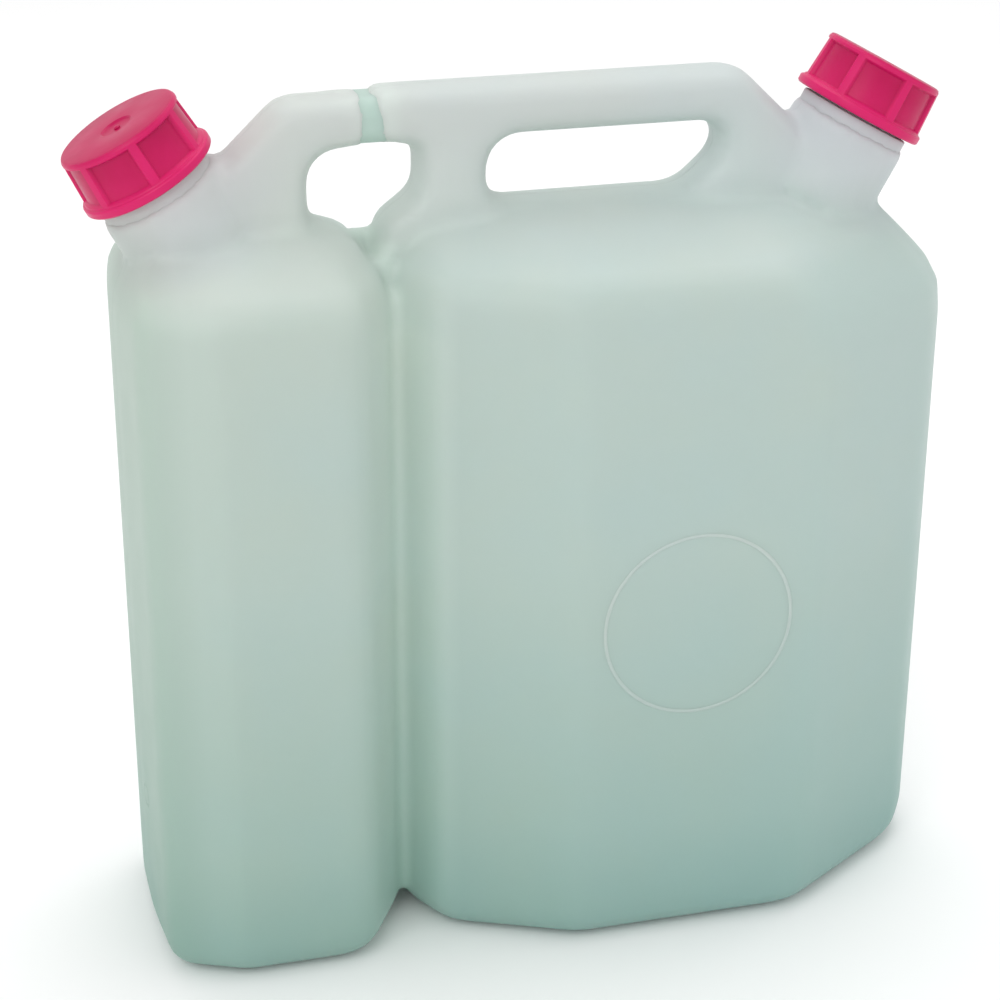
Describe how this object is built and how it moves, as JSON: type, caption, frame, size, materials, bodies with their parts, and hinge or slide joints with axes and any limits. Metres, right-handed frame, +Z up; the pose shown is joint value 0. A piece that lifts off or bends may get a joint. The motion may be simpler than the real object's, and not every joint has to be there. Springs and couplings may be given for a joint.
{
  "type": "dual fuel and oil can",
  "caption": "Blow-moulded combination can with a large fuel chamber and a small oil chamber, a shared top handle and a tilted neck with a ribbed screw cap on each.",
  "frame": {"origin": "middle of the bounding box's footprint, on the surface that the can stands on", "axes": "+X from the oil end to the fuel end, +Y from the front with the raised ring to the back, +Z up"},
  "size_m": [0.3416, 0.1324, 0.349],
  "materials": {
    "can_plastic": "milky translucent polyethylene with a soft satin sheen",
    "cap_plastic": "red-pink injection-moulded polyethylene, satin to glossy",
    "seal_foam": "pale foamed polyethylene disc"
  },
  "bodies": {
    "can": {"can_body": "can_plastic"},
    "oil_seal": {"oil_cap_seal": "seal_foam"},
    "oil_cap": {"oil_cap": "cap_plastic"},
    "fuel_seal": {"fuel_cap_seal": "seal_foam"},
    "fuel_cap": {"fuel_cap": "cap_plastic"}
  },
  "joints": [
    {"name": "oil_cap_rise", "type": "slide", "parent": "can", "child": "oil_seal", "axis": [-0.4848, 0, 0.8746], "range_m": [0, 0.01801]},
    {"name": "oil_cap_turn", "type": "hinge", "parent": "oil_seal", "child": "oil_cap", "pos_m": [-0.13839, 0.00022, 0.31259], "axis": [-0.4848, 0, 0.8746], "range_deg": [0, 1080]},
    {"name": "fuel_cap_rise", "type": "slide", "parent": "can", "child": "fuel_seal", "axis": [0.4848, 0, 0.8746], "range_m": [0, 0.01801]},
    {"name": "fuel_cap_turn", "type": "hinge", "parent": "fuel_seal", "child": "fuel_cap", "pos_m": [0.13452, 0.00022, 0.3185], "axis": [0.4848, 0, 0.8746], "range_deg": [0, 1080]}
  ],
  "couplings": [
    {"joint": "oil_cap_rise", "follows": "oil_cap_turn", "m_per_rad": 0.00095493},
    {"joint": "fuel_cap_rise", "follows": "fuel_cap_turn", "m_per_rad": 0.00095493}
  ]
}
